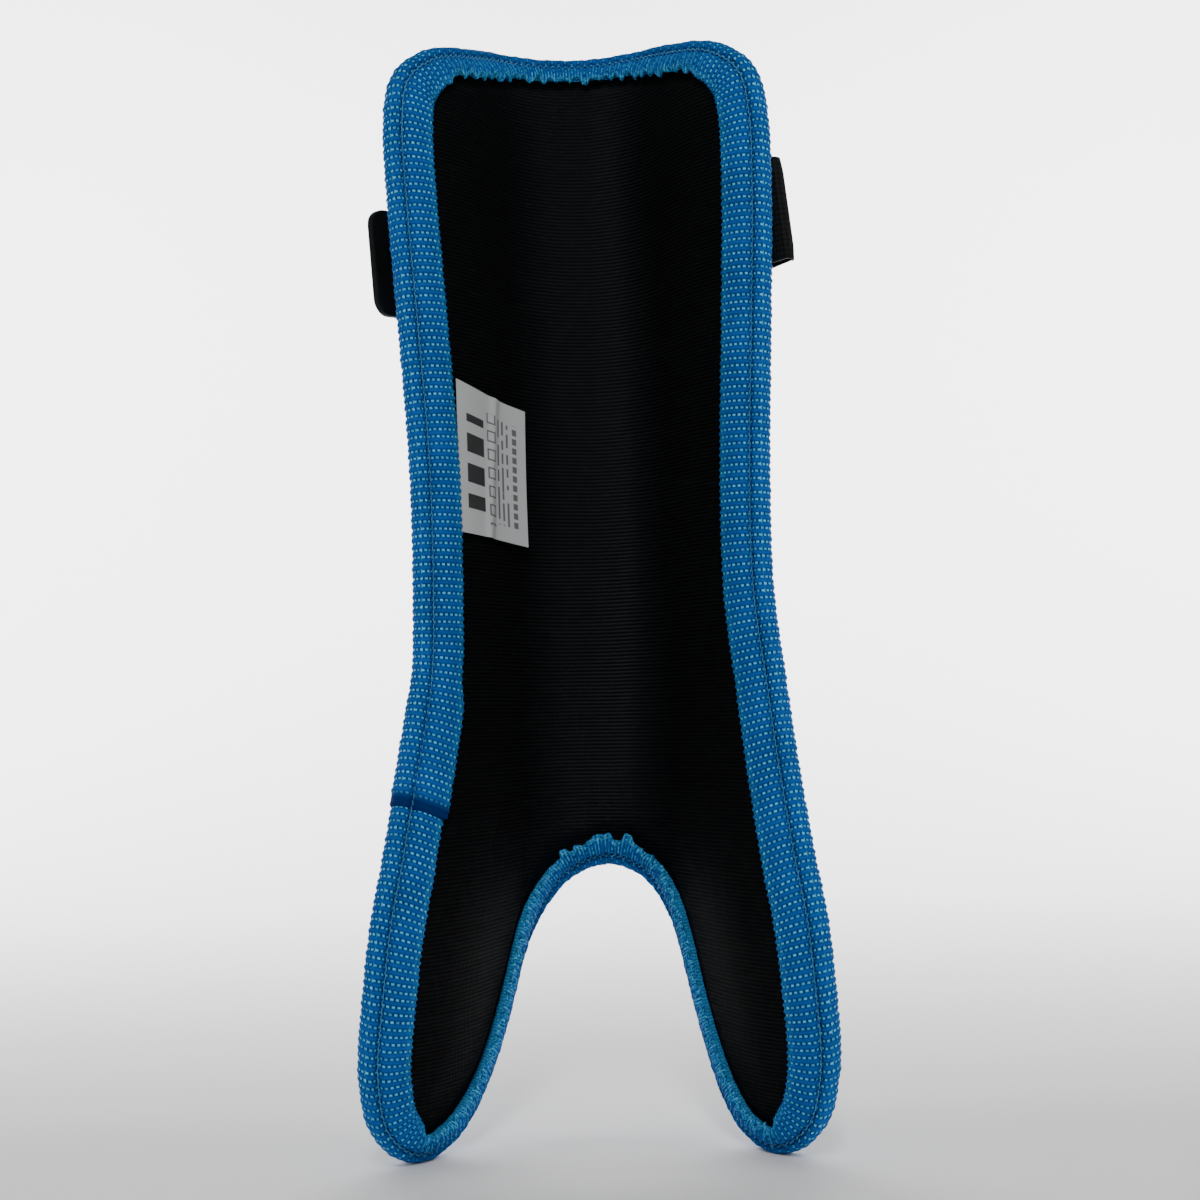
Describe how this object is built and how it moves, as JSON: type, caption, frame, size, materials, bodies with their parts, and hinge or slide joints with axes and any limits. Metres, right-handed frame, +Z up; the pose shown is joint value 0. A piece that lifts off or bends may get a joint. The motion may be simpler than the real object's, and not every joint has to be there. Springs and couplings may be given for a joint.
{
  "type": "shin guard",
  "caption": "Padded junior shin guard: a lined trough with an ankle arch cut out, bound with webbing tape, with a hard front shell and one elastic strap that wraps the calf.",
  "frame": {"origin": "on the lining's inner face, in the middle of the trough at half height, where the shin rests", "axes": "+Z up the shin as worn, +Y forward out of the convex front, +X to the right seen from the leg's side; the hollow side faces -Y"},
  "size_m": [0.1045, 0.0619, 0.2643],
  "materials": {
    "lining": "fine ribbed knit, matt",
    "foam_core": "closed-cell foam, matt",
    "outer_cover": "plain woven nylon, matt",
    "shin_shell": "moulded, fine leather grain",
    "ankle_plates": "moulded, fine grain",
    "binding": "plain woven filament webbing with a sheen",
    "binding_thread": "sewing thread",
    "elastic": "ribbed woven elastic, matt",
    "tab": "smooth, slightly satin",
    "hook_tape": "moulded hooks, matt",
    "loop_tape": "brushed loop pile",
    "black_thread": "sewing thread",
    "label": "satin, printed with plain bars"
  },
  "bodies": {
    "guard": {"lining": "lining", "foam_core": "foam_core", "outer_cover": "outer_cover", "shin_shell": "shin_shell", "ankle_plate_left": "ankle_plates", "ankle_plate_right": "ankle_plates", "binding_tape": "binding", "binding_lap": "binding", "binding_thread": "binding_thread", "strap_anchor": "elastic", "anchor_thread": "black_thread", "loop_patch": "loop_tape", "loop_thread": "black_thread"},
    "label": {"care_label": "label"},
    "strap_1": {"strap_link_1": "elastic"},
    "strap_2": {"strap_link_2": "elastic"},
    "strap_3": {"strap_link_3": "elastic"},
    "strap_4": {"strap_link_4": "elastic"},
    "strap_5": {"strap_link_5": "elastic"},
    "tab": {"strap_tab": "tab", "hook_patch": "hook_tape"}
  },
  "joints": [
    {"name": "strap_wrap", "type": "hinge", "parent": "guard", "child": "strap_1", "pos_m": [0.04799, -0.02715, 0.0885], "axis": [0.0499, -0.0605, -0.9969], "range_deg": [0, 240]},
    {"name": "strap_bend_1", "type": "hinge", "parent": "strap_1", "child": "strap_2", "pos_m": [0.02115, 0.00587, 0.08533], "axis": [0, 0, -1], "range_deg": [0, 22.3]},
    {"name": "strap_bend_2", "type": "hinge", "parent": "strap_2", "child": "strap_3", "pos_m": [0.01085, 0.01189, 0.08439], "axis": [0, 0, -1], "range_deg": [0, 22.3]},
    {"name": "strap_bend_3", "type": "hinge", "parent": "strap_3", "child": "strap_4", "pos_m": [-0.0009, 0.01399, 0.08345], "axis": [0, 0, -1], "range_deg": [0, 22.3]},
    {"name": "strap_bend_4", "type": "hinge", "parent": "strap_4", "child": "strap_5", "pos_m": [-0.01265, 0.01189, 0.08251], "axis": [0, 0, -1], "range_deg": [0, 22.3]},
    {"name": "strap_bend_5", "type": "hinge", "parent": "strap_5", "child": "tab", "pos_m": [-0.02295, 0.00587, 0.08157], "axis": [0, 0, -1], "range_deg": [0, 22.3]},
    {"name": "label_flap", "type": "hinge", "parent": "guard", "child": "label", "pos_m": [-0.02892, -0.02618, 0.03226], "axis": [0, 0, -1], "range_deg": [0, 70]}
  ],
  "couplings": [
    {"joint": "strap_bend_1", "follows": "strap_wrap", "ratio": 0.092},
    {"joint": "strap_bend_2", "follows": "strap_wrap", "ratio": 0.092},
    {"joint": "strap_bend_3", "follows": "strap_wrap", "ratio": 0.092},
    {"joint": "strap_bend_4", "follows": "strap_wrap", "ratio": 0.092},
    {"joint": "strap_bend_5", "follows": "strap_wrap", "ratio": 0.092}
  ]
}
